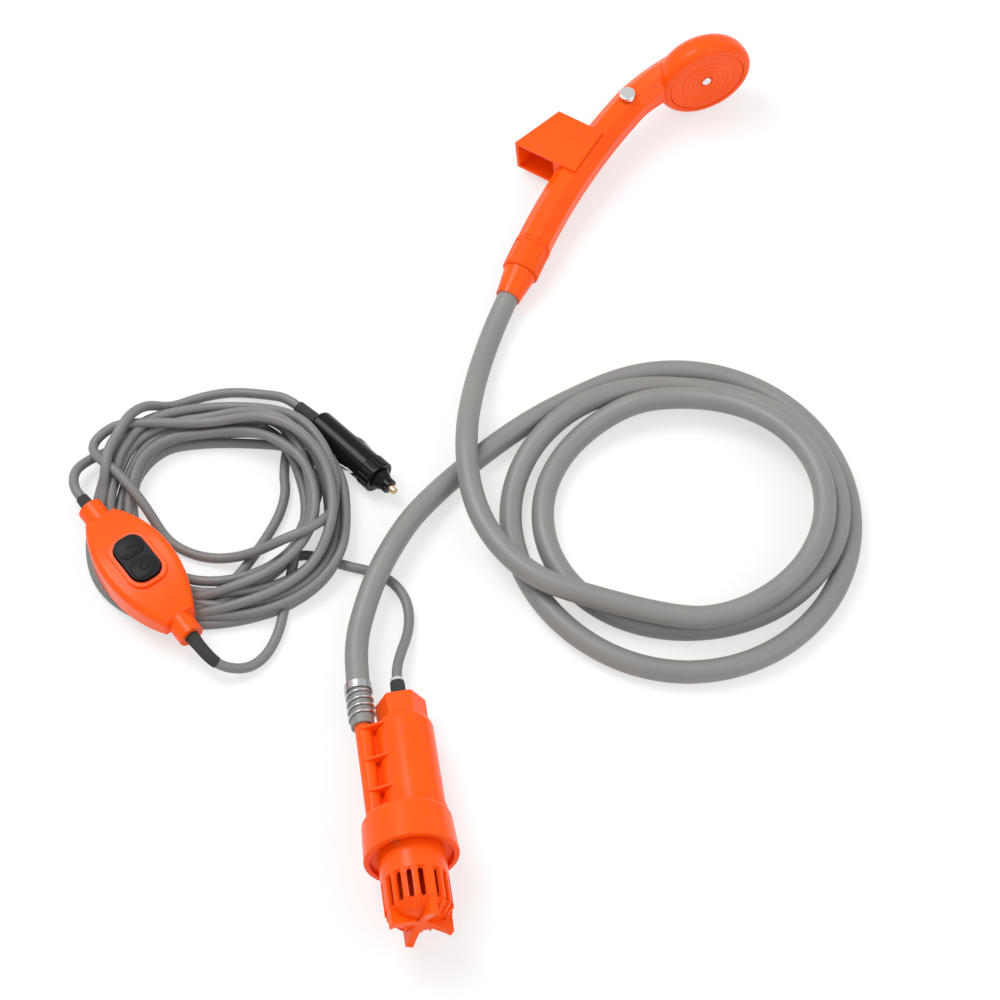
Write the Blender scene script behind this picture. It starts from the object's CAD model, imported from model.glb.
import logging
import math
from dataclasses import dataclass, field
from enum import Enum
from typing import Callable, Optional, Sequence, Union

import bmesh
import bpy
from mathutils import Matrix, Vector


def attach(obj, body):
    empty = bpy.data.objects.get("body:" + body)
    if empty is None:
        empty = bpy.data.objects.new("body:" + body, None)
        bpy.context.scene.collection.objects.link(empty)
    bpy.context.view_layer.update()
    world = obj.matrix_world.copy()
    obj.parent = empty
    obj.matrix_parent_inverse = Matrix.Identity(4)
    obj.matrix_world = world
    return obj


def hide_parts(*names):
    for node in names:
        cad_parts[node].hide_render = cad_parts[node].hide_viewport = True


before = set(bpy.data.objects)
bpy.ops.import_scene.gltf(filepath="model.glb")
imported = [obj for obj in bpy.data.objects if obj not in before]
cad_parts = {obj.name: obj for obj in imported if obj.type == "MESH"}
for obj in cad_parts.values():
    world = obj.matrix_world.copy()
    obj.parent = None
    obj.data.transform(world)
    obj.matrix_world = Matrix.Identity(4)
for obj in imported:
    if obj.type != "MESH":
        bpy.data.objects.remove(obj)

logging.basicConfig(level=logging.INFO, format="%(message)s")
log = logging.getLogger("portable_shower")

MM = 0.001
SMOOTH_ANGLE = math.radians(38.0)

Colour = tuple[float, float, float]
Point = tuple[float, float, Optional[float]]


@dataclass(frozen=True)
class Axes:
    """A sub-assembly's own axes in the row frame, in millimetres."""

    origin: Vector
    x: Vector
    y: Vector
    z: Vector

    def at(self, x: float = 0.0, y: float = 0.0, z: float = 0.0) -> Vector:
        """Gives the place of a local point, in millimetres."""
        return self.origin + self.x * x + self.y * y + self.z * z


def axes(origin: Sequence[float], x: Sequence[float], z: Sequence[float]) -> Axes:
    """Makes a right-handed set of axes from an origin and two directions.

    Args:
        origin: The local zero in the row frame, in millimetres.
        x: The local first direction.
        z: The local third direction.

    Returns:
        The axes, with unit directions.
    """
    along, normal = Vector(x).normalized(), Vector(z).normalized()
    return Axes(Vector(origin), along, normal.cross(along), normal)


SWITCH = axes((-238.0, -74.0, 6.3), (0.604599, -0.79653, 0.0), (0.0, 0.0, 1.0))
FACE = axes((93.7, 271.6, 30.386), (0.939348, 0.330797, 0.090547), (-0.336176, 0.940356, 0.052121))


class Value:
    """A socket's output in a shader: arithmetic on it adds Math nodes."""

    def __init__(self, graph: "Graph", socket: bpy.types.NodeSocket) -> None:
        self.graph = graph
        self.socket = socket

    def _math(self, operation: str, *terms: "Term") -> "Value":
        """Adds one Math node on the given terms."""
        return self.graph.node("ShaderNodeMath", {"operation": operation}, dict(enumerate(terms)))

    def __add__(self, other: "Term") -> "Value":
        return self._math("ADD", self, other)

    def __radd__(self, other: "Term") -> "Value":
        return self._math("ADD", other, self)

    def __mul__(self, other: "Term") -> "Value":
        return self._math("MULTIPLY", self, other)

    def __rmul__(self, other: "Term") -> "Value":
        return self._math("MULTIPLY", other, self)

    def smooth(self, low: float, high: float) -> "Value":
        """Rises smoothly from 0 at low to 1 at high."""
        return self.graph.node(
            "ShaderNodeMapRange", {"interpolation_type": "SMOOTHSTEP"},
            {"Value": self, "From Min": low, "From Max": high},
        )


Term = Union[Value, float]


class Graph:
    """A material's node tree, with one method that adds any node."""

    def __init__(self, name: str) -> None:
        self.material = bpy.data.materials.new(name)
        self.material.use_nodes = True
        self.tree = self.material.node_tree
        self.shader = self.tree.nodes["Principled BSDF"]

    def node(
        self, kind: str, settings: Optional[dict] = None, inputs: Optional[dict] = None,
        out: Union[int, str] = 0,
    ) -> Value:
        """Adds a node.

        Args:
            kind: The node's type.
            settings: Its properties; "stops" gives a ramp's (place, colour) pairs.
            inputs: Values or links for its sockets, by name or number.
            out: The output that the result stands for.

        Returns:
            The chosen output.
        """
        made = self.tree.nodes.new(kind)
        for key, value in (settings or {}).items():
            if key == "stops":
                ramp = made.color_ramp
                while len(ramp.elements) < len(value):
                    ramp.elements.new(0.5)
                for element, (place, colour) in zip(ramp.elements, value):
                    element.position = place
                    element.color = (*colour, 1.0)
            else:
                setattr(made, key, value)
        for key, value in (inputs or {}).items():
            self.feed(made.inputs[key], value)
        return Value(self, made.outputs[out])

    def feed(self, socket: bpy.types.NodeSocket, value: Union[Term, Sequence[float]]) -> None:
        """Links a value to a socket, or writes a constant on it."""
        if isinstance(value, Value):
            self.tree.links.new(value.socket, socket)
        elif isinstance(value, (int, float)):
            socket.default_value = value
        elif len(value) == 3 and len(socket.default_value) == 4:
            socket.default_value = (*value, 1.0)
        else:
            socket.default_value = value

    def place(self) -> Value:
        """Gives the surface point in the row frame, in metres."""
        return self.node("ShaderNodeTexCoord", out="Object")

    def noise(
        self, size_mm: float, detail: float = 3.0, stretch: Optional[Sequence[float]] = None,
    ) -> Value:
        """Gives soft noise from 0 to 1, of a grain size in millimetres.

        Args:
            size_mm: The size of the grains.
            detail: How many finer layers it has.
            stretch: A scale for each axis, for grain that runs one way.

        Returns:
            The noise value.
        """
        where = self.place()
        if stretch is not None:
            where = self.node(
                "ShaderNodeVectorMath", {"operation": "MULTIPLY"}, {0: where, 1: tuple(stretch)})
        return self.node(
            "ShaderNodeTexNoise", {},
            {"Vector": where, "Scale": 1.0 / (size_mm * MM), "Detail": detail}, out="Fac",
        )

    def mix(self, factor: Term, first: Union[Value, Colour], second: Union[Value, Colour]) -> Value:
        """Mixes two colours."""
        made = self.tree.nodes.new("ShaderNodeMix")
        made.data_type = "RGBA"
        self.feed(made.inputs[0], factor)
        self.feed(made.inputs[6], first)
        self.feed(made.inputs[7], second)
        return Value(self, made.outputs[2])

    def bump(self, height: Value, depth_mm: float) -> Value:
        """Turns a height from 0 to 1 into a normal, of a depth in millimetres."""
        return self.node(
            "ShaderNodeBump", {}, {"Height": height, "Strength": 1.0, "Distance": depth_mm * MM},
            out="Normal")

    def set(self, **sockets: Union[Term, Sequence[float]]) -> None:
        """Feeds the shader's own sockets, with _ for a space in a name."""
        for key, value in sockets.items():
            self.feed(self.shader.inputs[key.replace("_", " ")], value)


class Grain(Enum):
    """The kinds of fine surface that the finishes have."""

    POLISHED = "polished"
    STIPPLED = "stippled"
    EXTRUDED = "extruded"
    DRAWN = "drawn"


@dataclass(frozen=True)
class Finish:
    """One finish: its colours, gloss and fine surface."""

    name: str
    slot: str
    colour: Colour
    shade: Colour
    roughness: float
    grain: Grain = Grain.POLISHED
    metallic: float = 0.0
    coat: float = 0.0
    depth_mm: float = 0.02
    alpha: float = 1.0
    transmission: float = 0.0
    specular: float = 0.5

    def material(self) -> bpy.types.Material:
        """Gives the finish's material, made the first time it is asked for."""
        known = bpy.data.materials.get(self.name)
        if known is not None:
            return known
        graph = Graph(self.name)
        cloud = graph.noise(26.0, 2.0)
        fine = {
            Grain.POLISHED: lambda: graph.noise(3.0, 2.0),
            Grain.STIPPLED: lambda: graph.noise(0.45, 3.0),
            Grain.EXTRUDED: lambda: graph.noise(1.1, 4.0),
            Grain.DRAWN: lambda: graph.noise(0.35, 3.0, (1.0, 1.0, 0.12)),
        }[self.grain]()
        tint = cloud.smooth(0.3, 0.75) * 0.55 + fine * 0.35
        graph.set(
            Base_Color=graph.mix(tint, self.colour, self.shade),
            Roughness=fine * 0.10 + (self.roughness - 0.05) + cloud * 0.04,
            Metallic=self.metallic,
            Normal=graph.bump(fine * 0.8 + cloud * 0.2, self.depth_mm),
        )
        if self.coat:
            graph.set(Coat_Weight=self.coat, Coat_Roughness=0.08)
        graph.set(Specular_IOR_Level=self.specular)
        if self.transmission:
            graph.set(Transmission_Weight=self.transmission)
        if self.alpha < 1.0:
            graph.set(Alpha=self.alpha)
        return graph.material


ORANGE = Finish("orange_moulding", "orange_plastic",
                (0.96, 0.099, 0.004), (0.91, 0.084, 0.003), 0.24, coat=0.06, depth_mm=0.015, specular=0.14)
ORANGE_NUT = Finish("orange_nut_moulding", "orange_plastic",
                    (0.93, 0.092, 0.004), (0.88, 0.079, 0.003), 0.32, specular=0.14)
HOSE_GREY = Finish("grey_hose_rubber", "grey_hose",
                   (0.235, 0.230, 0.220), (0.205, 0.202, 0.195), 0.42, Grain.EXTRUDED, depth_mm=0.03)
CORD_GREY = Finish("grey_cord_rubber", "grey_cord",
                   (0.190, 0.190, 0.185), (0.165, 0.166, 0.163), 0.45, Grain.EXTRUDED, depth_mm=0.02)
RUBBER = Finish("black_rubber", "black_rubber",
                (0.016, 0.017, 0.019), (0.011, 0.012, 0.013), 0.55,
                Grain.STIPPLED, depth_mm=0.05, specular=0.12)
ROCKER = Finish("rocker_black", "black_plastic",
                (0.013, 0.014, 0.016), (0.009, 0.010, 0.011), 0.40,
                Grain.STIPPLED, depth_mm=0.03, specular=0.12)
PLUG_BLACK = Finish("plug_black", "black_plastic",
                    (0.007, 0.007, 0.008), (0.005, 0.005, 0.006), 0.22,
                    coat=0.05, depth_mm=0.01, specular=0.14)
CHROME = Finish("chrome_cap", "chrome",
                (0.82, 0.82, 0.83), (0.74, 0.74, 0.76), 0.10, metallic=1.0, depth_mm=0.004)
STEEL = Finish("drawn_steel", "steel",
               (0.62, 0.62, 0.63), (0.50, 0.50, 0.52), 0.24, Grain.DRAWN, metallic=1.0)
CONTACT = Finish("plated_spring", "plated_contact",
                 (0.86, 0.85, 0.82), (0.74, 0.73, 0.71), 0.18, metallic=1.0, depth_mm=0.005)
BRASS = Finish("turned_brass", "brass",
               (0.80, 0.60, 0.38), (0.66, 0.46, 0.28), 0.22, Grain.DRAWN, metallic=1.0)
WHITE = Finish("white_moulding", "white_plastic",
               (0.70, 0.70, 0.68), (0.62, 0.62, 0.60), 0.5, Grain.STIPPLED)
CLEAR = Finish("clear_tie", "clear_plastic",
               (0.86, 0.87, 0.86), (0.78, 0.79, 0.78), 0.25, transmission=0.45, depth_mm=0.01)
GLASS = Finish("fuse_glass", "fuse_glass",
               (0.9, 0.93, 0.93), (0.85, 0.88, 0.88), 0.08, transmission=0.9, depth_mm=0.002)

NODE_FINISHES: dict[Finish, tuple[str, ...]] = {
    ORANGE: ("pump_housing", "pump_strainer", "handset_body", "hanging_bracket", "face_plate",
             "hose_ferrule", "switch_lower_shell", "switch_upper_shell"),
    ORANGE_NUT: ("hose_nut",),
    CHROME: ("strainer_screws", "shutoff_button", "face_screw", "switch_screws"),
    STEEL: ("clamp_wire_coil", "hose_clamp", "plug_pin_spring", "motor_shaft", "motor_can"),
    WHITE: ("seal_plate", "motor_end_cap"),
    ROCKER: ("switch_rocker", "impeller", "impeller_cover"),
    BRASS: ("hose_nipple", "switch_contacts", "plug_pin"),
    CONTACT: ("plug_contact_left", "plug_contact_right"),
    RUBBER: ("housing_o_ring", "shaft_seal", "face_gasket", "button_o_rings", "nut_washer", "cable_gland",
             "switch_sleeve_upper", "switch_sleeve_lower", "plug_strain_relief"),
    CLEAR: ("gland_tie",),
    PLUG_BLACK: ("plug_body", "plug_ring", "plug_nose"),
    GLASS: ("plug_fuse",),
}


def report(piece: bpy.types.Object, words: str) -> None:
    """Logs one piece and what it is."""
    log.info("%-22s %s", piece.name, words)


def dress(piece: bpy.types.Object, finish: Finish) -> bpy.types.Object:
    """Gives a new piece its finish and material slot."""
    piece.data.materials.clear()
    piece.data.materials.append(finish.material())
    return piece


def curve_piece(name: str, points: Sequence[Vector], radius_mm: float, finish: Finish) -> bpy.types.Object:
    """Makes a round cord on one smooth spline.

    Args:
        name: The piece's name.
        points: The spline's control points, in millimetres.
        radius_mm: Half the cord's diameter.
        finish: Its finish.

    Returns:
        The curve object.
    """
    curve = bpy.data.curves.new(name, "CURVE")
    curve.dimensions = "3D"
    curve.bevel_depth = radius_mm * MM
    curve.bevel_resolution = 6
    curve.use_fill_caps = True
    curve.resolution_u = 8
    spline = curve.splines.new("NURBS")
    spline.points.add(len(points) - 1)
    for place, control in zip(points, spline.points):
        control.co = (*(place * MM), 1.0)
    spline.order_u = 3
    spline.use_endpoint_u = True
    piece = bpy.data.objects.new(name, curve)
    bpy.context.scene.collection.objects.link(piece)
    return dress(piece, finish)


def eased(place: float, keys: Sequence[float], values: Sequence[float]) -> float:
    """Eases from value to value between rising keys, and holds the last ones."""
    if place <= keys[0]:
        return values[0]
    for low, high, first, second in zip(keys, keys[1:], values, values[1:]):
        if place <= high:
            share = (place - low) / (high - low)
            return first + (second - first) * (0.5 - 0.5 * math.cos(math.pi * share))
    return values[-1]


class Lay:
    """Lays a cord down: each stretch rests on the floor or on the stretches laid before it."""

    SAMPLES = 6

    def __init__(
        self, radius: float, nesting: float, bend: float, cap: Optional[Callable[[Vector], float]] = None,
    ) -> None:
        """Keeps the cord's facts.

        Args:
            radius: Half the cord's diameter, in millimetres.
            nesting: How far apart crossing stretches stay, as a share of the diameter.
            bend: The radius of the humps where it passes over itself, in millimetres.
            cap: The greatest height of the centreline at a place, if anything lies on the cord.
        """
        self.radius = radius
        self.reach = 2 * radius * nesting
        self.bend = bend
        self.cap = cap

    def _samples(self, points: Sequence[Point]) -> list[tuple[Vector, Optional[float], int]]:
        """Gives places along the spline, each with its held height, if any, and its control's number."""
        out = []
        for number in range(1, len(points) - 1):
            before, here, after = points[number - 1], points[number], points[number + 1]
            for step in range(self.SAMPLES):
                share = (step + 0.5) / self.SAMPLES
                weights = (0.5 * (1 - share) ** 2, 0.5 + share - share ** 2, 0.5 * share ** 2)
                near = tuple(zip(weights, (before, here, after)))
                place = Vector(tuple(sum(weight * point[k] for weight, point in near) for k in (0, 1)))
                out.append((place, here[2], number))
        return out

    def heights(self, points: Sequence[Point]) -> list[Vector]:
        """Works out the height of every control point that has none.

        Args:
            points: The control points, in millimetres, with None for a height to find.

        Returns:
            The control points with their heights.
        """
        samples = self._samples(points)
        run = [0.0]
        for (first, _, _), (second, _, _) in zip(samples, samples[1:]):
            run.append(run[-1] + (second - first).length)
        cells: dict[tuple[int, int], list[int]] = {}
        size = self.reach
        laid: list[float] = []
        block = 40
        for start in range(0, len(samples), block):
            stop = min(start + block, len(samples))
            raw = []
            for index in range(start, stop):
                place, held, _ = samples[index]
                if held is not None:
                    raw.append(held)
                    continue
                low = self.radius
                cell = (int(place.x // size), int(place.y // size))
                for across in (-1, 0, 1):
                    for up in (-1, 0, 1):
                        for other in cells.get((cell[0] + across, cell[1] + up), ()):
                            if run[index] - run[other] < 6 * self.radius:
                                continue
                            gap = (samples[other][0] - place).length
                            if gap < self.reach:
                                low = max(low, laid[other] + math.sqrt(self.reach ** 2 - gap ** 2))
                raw.append(low)
            for index in range(start, stop):
                held = samples[index][1]
                if held is not None:
                    laid.append(held)
                    continue
                best = raw[index - start]
                for other in range(start, stop):
                    best = max(best, raw[other - start] - (run[index] - run[other]) ** 2 / (2 * self.bend))
                for other in range(max(0, start - block // 2), start):
                    best = max(best, laid[other] - (run[index] - run[other]) ** 2 / (2 * self.bend))
                if self.cap is not None:
                    best = min(best, self.cap(samples[index][0]))
                laid.append(best)
            for index in range(start, stop):
                place = samples[index][0]
                cells.setdefault((int(place.x // size), int(place.y // size)), []).append(index)
        smooth = list(laid)
        for _ in range(4):
            smooth = [
                value if samples[index][1] is not None
                else (smooth[max(index - 1, 0)] + 2 * value + smooth[min(index + 1, len(smooth) - 1)]) / 4
                for index, value in enumerate(smooth)
            ]
        sums = [[0.0, 0] for _ in points]
        for value, (_, _, number) in zip(smooth, samples):
            sums[number][0] += value
            sums[number][1] += 1
        out = []
        for number, (x, y, held) in enumerate(points):
            total, count = sums[number]
            found = total / count if count else self.radius
            out.append(Vector((x, y, found if held is None else held)))
        return out


@dataclass
class Hose:
    """The grey hose, from the pump's outlet through its coil to the handset."""

    diameter: float = 13.0
    length: float = 2000.0
    nesting: float = 0.97
    hump: float = 140.0
    roundness: int = 10
    centre: tuple[float, float] = (67.5, -32.5)
    first_angle: float = 108.0
    last_angle: float = -832.0
    step: float = 20.0
    side_angles: tuple[float, ...] = (-720.0, -540.0, -360.0, -180.0, 0.0)
    side_reach: tuple[float, ...] = (80.5, 79.0, 89.5, 97.5, 97.0)
    front_angles: tuple[float, ...] = (-810.0, -630.0, -450.0, -270.0, -90.0, 90.0)
    front_reach: tuple[float, ...] = (74.5, 75.5, 74.5, 87.0, 101.5, 100.5)
    from_pump: tuple[Point, ...] = (
        (-109.8, -174.6, 19.3), (-113.7, -147.2, 15.9), (-115.8, -119.0, 13.4), (-111.0, -95.0, 13.0),
        (-105.0, -75.0, 13.2), (-96.5, -56.0, 13.2), (-87.0, -37.5, 11.0), (-74.0, -19.5, 8.2),
        (-58.0, -2.0, 6.9), (-41.0, 14.0, 6.7), (-23.0, 29.0, 6.7), (-1.0, 44.0, 6.7),
    )
    to_handset: tuple[Point, ...] = (
        (-3.0, -88.5, 20.4), (-23.0, -76.0, 20.6), (-38.0, -59.0, 20.6), (-48.0, -40.0, 20.6),
        (-53.5, -19.0, 20.6), (-55.5, 3.0, 20.6), (-55.0, 24.0, 18.0), (-52.5, 45.0, 13.0),
        (-48.5, 67.0, 8.8), (-42.5, 89.5, 7.2), (-34.5, 112.3, 8.9), (-24.2, 136.0, 11.5),
    )

    def coil(self) -> list[Point]:
        """Gives the coil's control points: turns that grow smaller, and the last one on top."""
        wide = 1.0 / math.cos(math.radians(self.step / 2))
        out: list[Point] = []
        angle = self.first_angle
        while angle > self.last_angle:
            turn = math.radians(angle)
            side = eased(angle, self.side_angles, self.side_reach) * wide
            front = eased(angle, self.front_angles, self.front_reach) * wide
            across, up = side * math.cos(turn), front * math.sin(turn)
            out.append((self.centre[0] + across, self.centre[1] + up, None))
            angle -= self.step
        return out

    def build(self) -> bpy.types.Object:
        route = [*self.from_pump, *self.coil(), *self.to_handset]
        places = Lay(self.diameter / 2, self.nesting, self.hump).heights(route)
        hose = curve_piece("hose", places, self.diameter / 2, HOSE_GREY)
        hose.data.bevel_resolution = self.roundness
        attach(hose, "shower")
        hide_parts("hose_lead_pump", "hose_coil", "hose_lead_handset")
        report(hose, "hose on one spline, coiled three times")
        return hose


@dataclass
class PowerCord:
    """The grey power cord: pump, lower turns, switch, upper turns and plug."""

    diameter: float = 5.8
    length: float = 4850.0
    nesting: float = 0.86
    hump: float = 26.0
    switch_half_length: float = 46.0
    switch_half_width: float = 24.0
    switch_clearance: float = 3.3
    switch_flare: float = 1.2
    centre: tuple[float, float] = (-194.0, -25.0)
    step: float = 21.0
    sector_angles: tuple[float, ...] = (-34.0, -2.0, 47.0, 96.0, 145.0, 165.0, 221.0, 281.0, 326.0, 358.0)
    sector_middle: tuple[float, ...] = (63.0, 57.0, 54.0, 54.0, 64.0, 60.0, 67.0, 62.0, 63.0, 57.0)
    sector_half: tuple[float, ...] = (15.0, 12.5, 15.0, 11.5, 11.0, 11.0, 20.0, 14.0, 15.0, 12.5)
    outer_ranks: tuple[float, ...] = (0.62, -0.3, 0.95, -0.75, 0.3, 0.8, -0.1, 0.5, -0.5, 0.1, -0.9, 0.7)
    far_ranks: tuple[float, ...] = (0.9, -0.9, 0.3, -0.5, 0.6, 1.0, -0.2, 0.1, -0.7, 0.8, -0.4, 0.5)
    side_ranks: tuple[float, ...] = (-0.8, 0.5, 0.9, -0.9, -0.1, -0.6, 0.7, 1.0, 0.2, -0.4, 0.6, 0.4)
    from_pump: tuple[Point, ...] = (
        (-91.9, -146.6, 12.3), (-93.3, -136.8, 11.1), (-91.0, -123.0, 8.2), (-87.5, -110.0, 4.6),
        (-86.5, -96.5, 3.1), (-89.5, -83.5, 3.0), (-98.0, -73.0, 3.0), (-110.5, -67.0, 3.0),
        (-123.5, -64.0, 3.0),
    )
    across_hole: tuple[Point, ...] = (
        (-161.7, -0.6, None), (-159.4, -14.3, None), (-162.2, -29.2, None), (-167.3, -41.3, None),
        (-173.6, -53.3, None), (-179.3, -63.2, None), (-186.8, -74.4, None), (-199.3, -84.8, None),
    )
    to_switch: tuple[Point, ...] = (
        (-149.5, -40.1, None), (-151.8, -60.0, None), (-155.5, -79.7, None), (-157.2, -93.9, 3.0),
        (-159.8, -108.7, 3.0), (-165.9, -122.7, 3.1), (-175.4, -130.8, 4.2), (-187.5, -132.5, 8.6),
        (-196.3, -129.0, 13.8), (-202.3, -121.0, 13.8), (-238.0, -74.0, 13.8), (-273.7, -27.0, 13.8),
        (-280.3, -18.2, 13.8), (-281.5, -6.0, 11.4), (-275.0, 3.5, 8.6), (-264.5, 9.0, None),
    )
    last_loop: tuple[Point, ...] = (
        (-130.4, -20.0, None), (-130.0, -32.1, None), (-134.8, -43.5, None), (-144.6, -52.1, None),
        (-157.5, -56.7, None), (-171.4, -59.4, None), (-185.5, -60.7, None), (-200.8, -59.4, None),
        (-215.2, -54.7, None), (-227.0, -46.3, None), (-237.2, -31.5, None), (-247.9, -18.6, None),
        (-258.5, -7.8, None), (-268.0, 0.8, None), (-272.5, 10.5, None), (-266.0, 19.0, None),
        (-254.0, 23.0, None),
    )
    to_plug: tuple[Point, ...] = (
        (-262.0, -10.6, None), (-261.2, 1.7, None), (-256.6, 13.4, None), (-250.3, 25.1, None),
        (-241.4, 35.6, None), (-230.4, 44.0, 3.2), (-216.0, 50.4, 3.0), (-201.5, 54.4, 3.0),
        (-189.7, 55.1, 3.0), (-175.6, 52.9, 4.2), (-160.3, 46.4, 10.2), (-152.6, 38.6, 10.2),
    )

    def rank(self, travelled: float) -> float:
        """Gives a strand's place across the bundle, from -1 inside to 1 outside.

        Args:
            travelled: The angle travelled since the first turn's start, in degrees.

        Returns:
            The rank, which changes slowly from turn to turn.
        """
        turn = int(travelled // 360)
        part = travelled - 360 * turn
        count = len(self.outer_ranks)
        here, after = turn % count, (turn + 1) % count
        keys = (0.0, 107.0, 232.0, 330.0, 467.0)
        values = (self.side_ranks[here], self.outer_ranks[here], self.far_ranks[here],
                  self.side_ranks[after], self.outer_ranks[after])
        return eased(part, keys, values)

    def arc(self, start: float, end: float) -> list[Point]:
        """Gives the control points of turns between two angles travelled."""
        wide = 1.0 / math.cos(math.radians(self.step / 2))
        count = max(1, round((end - start) / self.step))
        out: list[Point] = []
        for number in range(count + 1):
            travelled = start + (end - start) * number / count
            angle = -34.0 - travelled
            compass = (angle + 34.0) % 360 - 34.0
            middle = eased(compass, self.sector_angles, self.sector_middle)
            half = eased(compass, self.sector_angles, self.sector_half)
            reach = (middle + half * self.rank(travelled)) * wide
            turn = math.radians(angle)
            across, up = reach * math.cos(turn), reach * math.sin(turn)
            out.append((self.centre[0] + across, self.centre[1] + up, None))
        return out

    def under_switch(self, place: Vector) -> float:
        """Gives the greatest height of a strand's middle below the switch."""
        from_switch = Vector((place.x, place.y, 0.0)) - Vector((SWITCH.origin.x, SWITCH.origin.y, 0.0))
        along, across = from_switch.dot(SWITCH.x), from_switch.dot(SWITCH.y)
        reach = math.hypot(along / self.switch_half_length, across / self.switch_half_width)
        beyond = max(reach - 1.0, 0.0) * self.switch_half_width
        return self.switch_clearance + self.switch_flare * beyond

    def build(self) -> bpy.types.Object:
        route = [
            *self.from_pump,
            *self.arc(0.0, 268.0), *self.across_hole,
            *self.arc(360.0 + 88.0, 3 * 360.0 + 318.0), *self.to_switch,
            *self.arc(4 * 360.0 + 196.0, 9 * 360.0 + 318.0), *self.last_loop,
            *self.arc(10 * 360.0 + 222.0, 11 * 360.0 + 150.0), *self.to_plug,
        ]
        places = Lay(self.diameter / 2, self.nesting, self.hump, self.under_switch).heights(route)
        cord = curve_piece("power_cord", places, self.diameter / 2, CORD_GREY)
        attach(cord, "shower")
        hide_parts("cord_lead_pump", "cord_coil", "cord_lead_switch_lower", "cord_lead_switch_upper",
                    "cord_lead_plug")
        report(cord, "power cord on one spline, through the switch to the plug")
        return cord


def mesh_piece(
    name: str, points: Sequence[Vector], faces: Sequence[Sequence[int]], finish: Finish,
) -> bpy.types.Object:
    """Makes a piece from a closed mesh, smooth where its faces meet at shallow angles.

    Args:
        name: The piece's name.
        points: The mesh's points, in millimetres.
        faces: The points' numbers round each face.
        finish: Its finish.

    Returns:
        The mesh object.
    """
    mesh = bpy.data.meshes.new(name)
    mesh.from_pydata([tuple(point * MM) for point in points], [], [tuple(face) for face in faces])
    mesh.validate()
    shape = bmesh.new()
    shape.from_mesh(mesh)
    bmesh.ops.recalc_face_normals(shape, faces=shape.faces)
    for face in shape.faces:
        face.smooth = True
    for edge in shape.edges:
        edge.smooth = edge.calc_face_angle(0.0) < SMOOTH_ANGLE
    shape.to_mesh(mesh)
    shape.free()
    piece = bpy.data.objects.new(name, mesh)
    bpy.context.scene.collection.objects.link(piece)
    return dress(piece, finish)


@dataclass
class SprayFace:
    """The round spray face with soft ripples round its screw, in millimetres from FACE."""

    radius: float = 24.55
    thickness: float = 2.5
    rest: float = 0.2
    ripples: tuple[float, ...] = (6.8, 10.0, 13.6, 17.2)
    ripple_depth: float = 0.45
    ripple_width: float = 0.75
    boss_radius: float = 3.4
    boss_top: float = 1.55
    boss_foot: float = 1.2
    rim_width: float = 0.6
    rim_drop: float = 0.5
    segments: int = 144
    step: float = 0.25

    def height(self, reach: float) -> float:
        """Gives the face's depth below its rim at a distance from the middle."""
        waves = sum(math.exp(-(((reach - ripple) / self.ripple_width) ** 2)) for ripple in self.ripples)
        boss_end = self.boss_radius + self.boss_foot
        boss = eased(reach, (self.boss_radius, boss_end), (self.boss_top - self.rest, 0.0))
        rim = eased(reach, (self.radius - self.rim_width, self.radius), (0.0, self.rim_drop))
        return self.rest + self.ripple_depth * waves + boss + rim

    def build(self) -> bpy.types.Object:
        """Makes the disc, closed at its back."""
        count = round(self.radius / self.step)
        rings = [self.radius * (number + 1) / count for number in range(count)]
        profile = [(reach, self.height(reach)) for reach in rings] + [(self.radius, self.thickness)]
        points = [FACE.at(z=self.height(0.0))]
        for reach, depth in profile:
            for number in range(self.segments):
                angle = math.tau * number / self.segments
                points.append(FACE.at(reach * math.cos(angle), reach * math.sin(angle), depth))
        back = len(points)
        points.append(FACE.at(z=self.thickness))
        size = self.segments
        faces: list[tuple[int, ...]] = []
        for number in range(size):
            after = (number + 1) % size
            faces.append((0, 1 + number, 1 + after))
            for ring in range(len(profile) - 1):
                low, high = 1 + ring * size, 1 + (ring + 1) * size
                faces.append((low + number, high + number, high + after, low + after))
            last = 1 + (len(profile) - 1) * size
            faces.append((last + number, back, last + after))
        piece = mesh_piece("spray_face", points, faces, ORANGE)
        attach(piece, "shower")
        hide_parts("face_plate")
        report(piece, "rippled disc of the spray face")
        return piece


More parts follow.
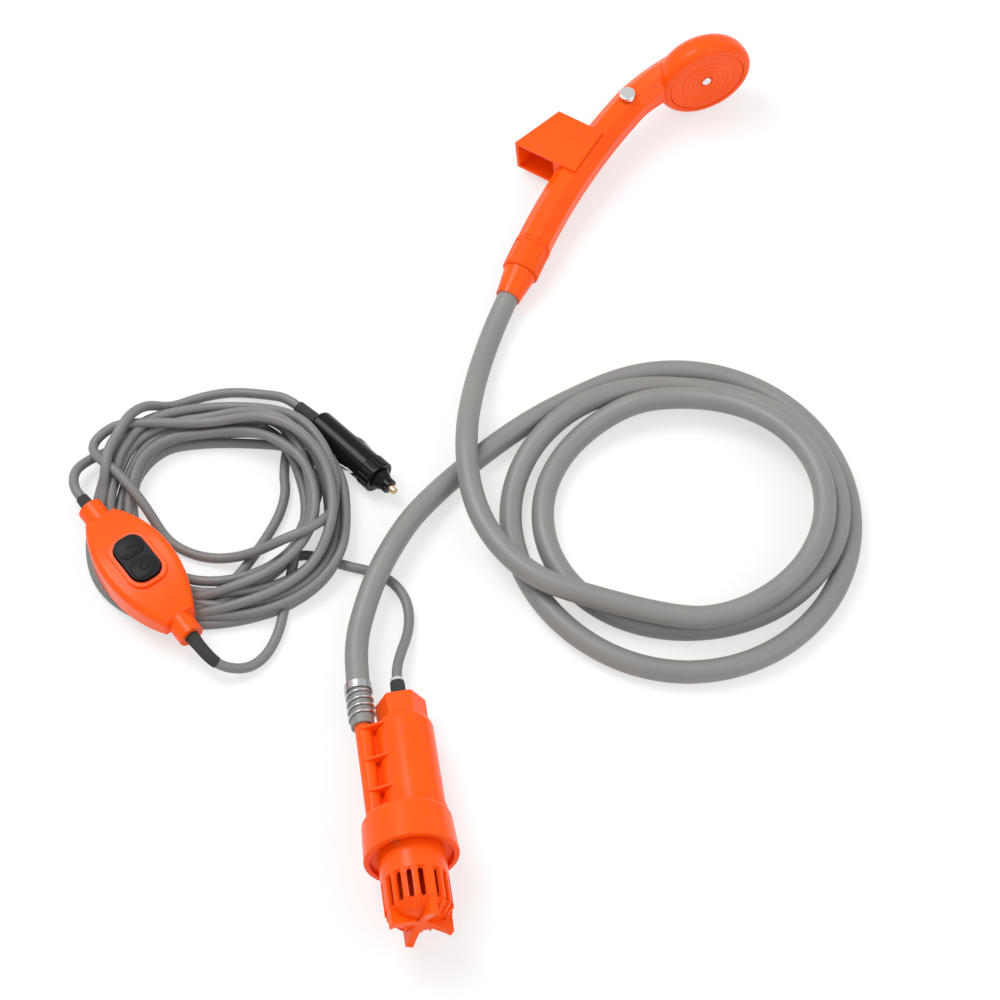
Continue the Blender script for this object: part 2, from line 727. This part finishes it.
@dataclass
class RockerPads:
    """The two raised pads on the rocker, one with a bar and one with a ring."""

    top: float = 24.1
    dip: float = 0.8
    half_length: float = 15.0
    pad_half_length: float = 6.3
    pad_half_width: float = 7.7
    corner: float = 4.6
    rise: float = 0.55
    sink: float = 1.2
    middle_gap: float = 0.1
    edges: tuple[tuple[float, float], ...] = ((0.0, 0.35), (0.12, 0.12), (0.4, 0.0))
    mark_radius: float = 0.42
    bar_places: tuple[float, ...] = (-2.4, -0.8, 0.8, 2.4)
    ring_radius: float = 2.3
    ring_steps: int = 24
    corner_steps: int = 8

    def outline(self, inset: float) -> list[tuple[float, float]]:
        """Gives the pad's rounded outline, drawn in by an inset."""
        half_x, half_y = self.pad_half_length - inset, self.pad_half_width - inset
        corner = self.corner - inset
        out = []
        for quarter, (side_x, side_y) in enumerate(((1, 1), (-1, 1), (-1, -1), (1, -1))):
            for step in range(self.corner_steps + 1):
                angle = math.pi / 2 * (quarter + step / self.corner_steps)
                out.append((side_x * (half_x - corner) + corner * math.cos(angle),
                            side_y * (half_y - corner) + corner * math.sin(angle)))
        return out

    def place(self, side: int, x: float, y: float, z: float) -> Vector:
        """Gives a point of one pad, which slopes with the rocker's top."""
        along = side * (self.half_length / 2 + self.middle_gap) + x
        slope = self.top - self.dip * (1.0 - abs(along) / self.half_length)
        return SWITCH.at(along, y, slope + z)

    def pad(self, side: int, name: str) -> None:
        """Makes one pad.

        Args:
            side: -1 or 1, the end of the rocker that it lies on.
            name: The piece's name.
        """
        layers = [(0.0, -self.sink), *((inset, self.rise - drop) for inset, drop in self.edges)]
        points: list[Vector] = []
        for inset, z in layers:
            points += [self.place(side, x, y, z) for x, y in self.outline(inset)]
        size = 4 * (self.corner_steps + 1)
        top = size * (len(layers) - 1)
        faces: list[tuple[int, ...]] = [tuple(range(size)), tuple(range(top, top + size))]
        for low in range(0, top, size):
            for number in range(size):
                after = (number + 1) % size
                faces.append((low + number, low + after, low + size + after, low + size + number))
        piece = mesh_piece(name, points, faces, ROCKER)
        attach(piece, "rocker")
        report(piece, "raised pad of the rocker")

    def mark(self, side: int, name: str, line: Sequence[tuple[float, float]]) -> None:
        """Makes one raised mark.

        Args:
            side: -1 or 1, the pad that it lies on.
            name: The piece's name.
            line: The mark's places on the pad.
        """
        places = [self.place(side, x, y, self.rise) for x, y in line]
        piece = curve_piece(name, places, self.mark_radius, ROCKER)
        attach(piece, "rocker")
        report(piece, "raised switch mark")

    def build(self) -> None:
        """Makes both pads with their marks."""
        turns = [math.tau * number / self.ring_steps for number in range(self.ring_steps + 1)]
        ring = [(self.ring_radius * math.cos(turn), self.ring_radius * math.sin(turn)) for turn in turns]
        self.pad(-1, "rocker_pad_on")
        self.mark(-1, "rocker_mark_on", [(0.0, place) for place in self.bar_places])
        self.pad(1, "rocker_pad_off")
        self.mark(1, "rocker_mark_off", ring)


@dataclass
class LowerSleeve:
    """The tapered end of the switch's lower sleeve, which bends with the cord."""

    radius: float = 3.7
    line: tuple[Point, ...] = ((-203.5, -119.4, 13.8), (-196.3, -129.0, 13.8), (-191.9, -130.75, 11.2))
    taper: tuple[float, ...] = (1.0, 0.97, 0.9)

    def build(self) -> bpy.types.Object:
        """Makes the sleeve's end."""
        places = [Vector(point) for point in self.line]
        piece = curve_piece("switch_sleeve_tail", places, self.radius, RUBBER)
        for control, share in zip(piece.data.splines[0].points, self.taper):
            control.radius = share
        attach(piece, "shower")
        report(piece, "tapered end of the lower sleeve")
        return piece


@dataclass
class Studio:
    """The floor, the soft light and the camera at the photograph's angle."""

    camera_at: Vector = field(default_factory=lambda: Vector((-0.036, -0.8135, 1.273)))
    aimed_at: Vector = field(default_factory=lambda: Vector((-0.036, -0.018, 0.0)))
    lens: float = 93.6
    sky: float = 0.75
    key_watts: float = 16.0
    fill_watts: float = 6.0
    key_at: Vector = field(default_factory=lambda: Vector((-0.7, 0.5, 1.5)))
    key_size: float = 0.9
    fill_at: Vector = field(default_factory=lambda: Vector((1.1, -0.6, 1.2)))
    fill_size: float = 1.2
    sensor: float = 36.0
    clip: tuple[float, float] = (0.05, 20.0)
    floor_size: float = 6.0
    floor_drop: float = 0.0004
    floor_glow: float = 0.62

    def camera(self) -> None:
        """Places the camera."""
        data = bpy.data.cameras.new("view")
        data.lens, data.sensor_width = self.lens, self.sensor
        data.clip_start, data.clip_end = self.clip
        holder = bpy.data.objects.new("view", data)
        bpy.context.scene.collection.objects.link(holder)
        holder.location = self.camera_at
        holder.rotation_euler = (self.aimed_at - self.camera_at).to_track_quat("-Z", "Y").to_euler()
        bpy.context.scene.camera = holder
        bpy.context.scene.view_settings.view_transform = "Standard"

    def floor(self) -> None:
        """Makes the pale floor, white to the camera and with a soft shadow."""
        mesh = bpy.data.meshes.new("floor")
        shape = bmesh.new()
        bmesh.ops.create_grid(shape, x_segments=1, y_segments=1, size=self.floor_size)
        shape.to_mesh(mesh)
        shape.free()
        floor = bpy.data.objects.new("floor", mesh)
        bpy.context.scene.collection.objects.link(floor)
        floor.location.z = -self.floor_drop
        graph = Graph("floor_white")
        graph.set(Base_Color=(0.90, 0.90, 0.90), Roughness=0.9, Specular_IOR_Level=0.0)
        seen = graph.node("ShaderNodeLightPath", out="Is Camera Ray")
        glossy = graph.node("ShaderNodeLightPath", out="Is Glossy Ray")
        glow = graph.node("ShaderNodeEmission", {}, {"Color": (1.0, 1.0, 1.0), "Strength": 1.0})
        blend = graph.node("ShaderNodeMixShader", {}, {
            0: (seen + glossy) * self.floor_glow, 1: Value(graph, graph.shader.outputs[0]), 2: glow})
        graph.feed(graph.tree.nodes["Material Output"].inputs["Surface"], blend)
        mesh.materials.append(graph.material)

    def light(self) -> None:
        """Sets the sky and two wide soft lamps."""
        world = bpy.data.worlds.new("studio")
        world.use_nodes = True
        back = world.node_tree.nodes["Background"]
        back.inputs["Color"].default_value = (1.0, 1.0, 1.0, 1.0)
        back.inputs["Strength"].default_value = self.sky
        bpy.context.scene.world = world
        for name, place, size, watts in (
            ("key", self.key_at, self.key_size, self.key_watts),
            ("fill", self.fill_at, self.fill_size, self.fill_watts),
        ):
            data = bpy.data.lights.new(name, "AREA")
            data.shape, data.size, data.energy = "DISK", size, watts
            lamp = bpy.data.objects.new(name, data)
            bpy.context.scene.collection.objects.link(lamp)
            lamp.location = place
            lamp.rotation_euler = (-place).to_track_quat("-Z", "Y").to_euler()


def dress_nodes() -> None:
    """Gives every CAD node that stays its finish."""
    for finish, names in NODE_FINISHES.items():
        for name in names:
            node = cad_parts[name]
            node.data.materials.clear()
            node.data.materials.append(finish.material())
            report(node, finish.name)


def main() -> None:
    """Builds the scene in order."""
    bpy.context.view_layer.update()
    studio = Studio()
    studio.camera()
    Hose().build()
    PowerCord().build()
    dress_nodes()
    SprayFace().build()
    RockerPads().build()
    LowerSleeve().build()
    studio.floor()
    studio.light()


if __name__ == "__main__":
    main()
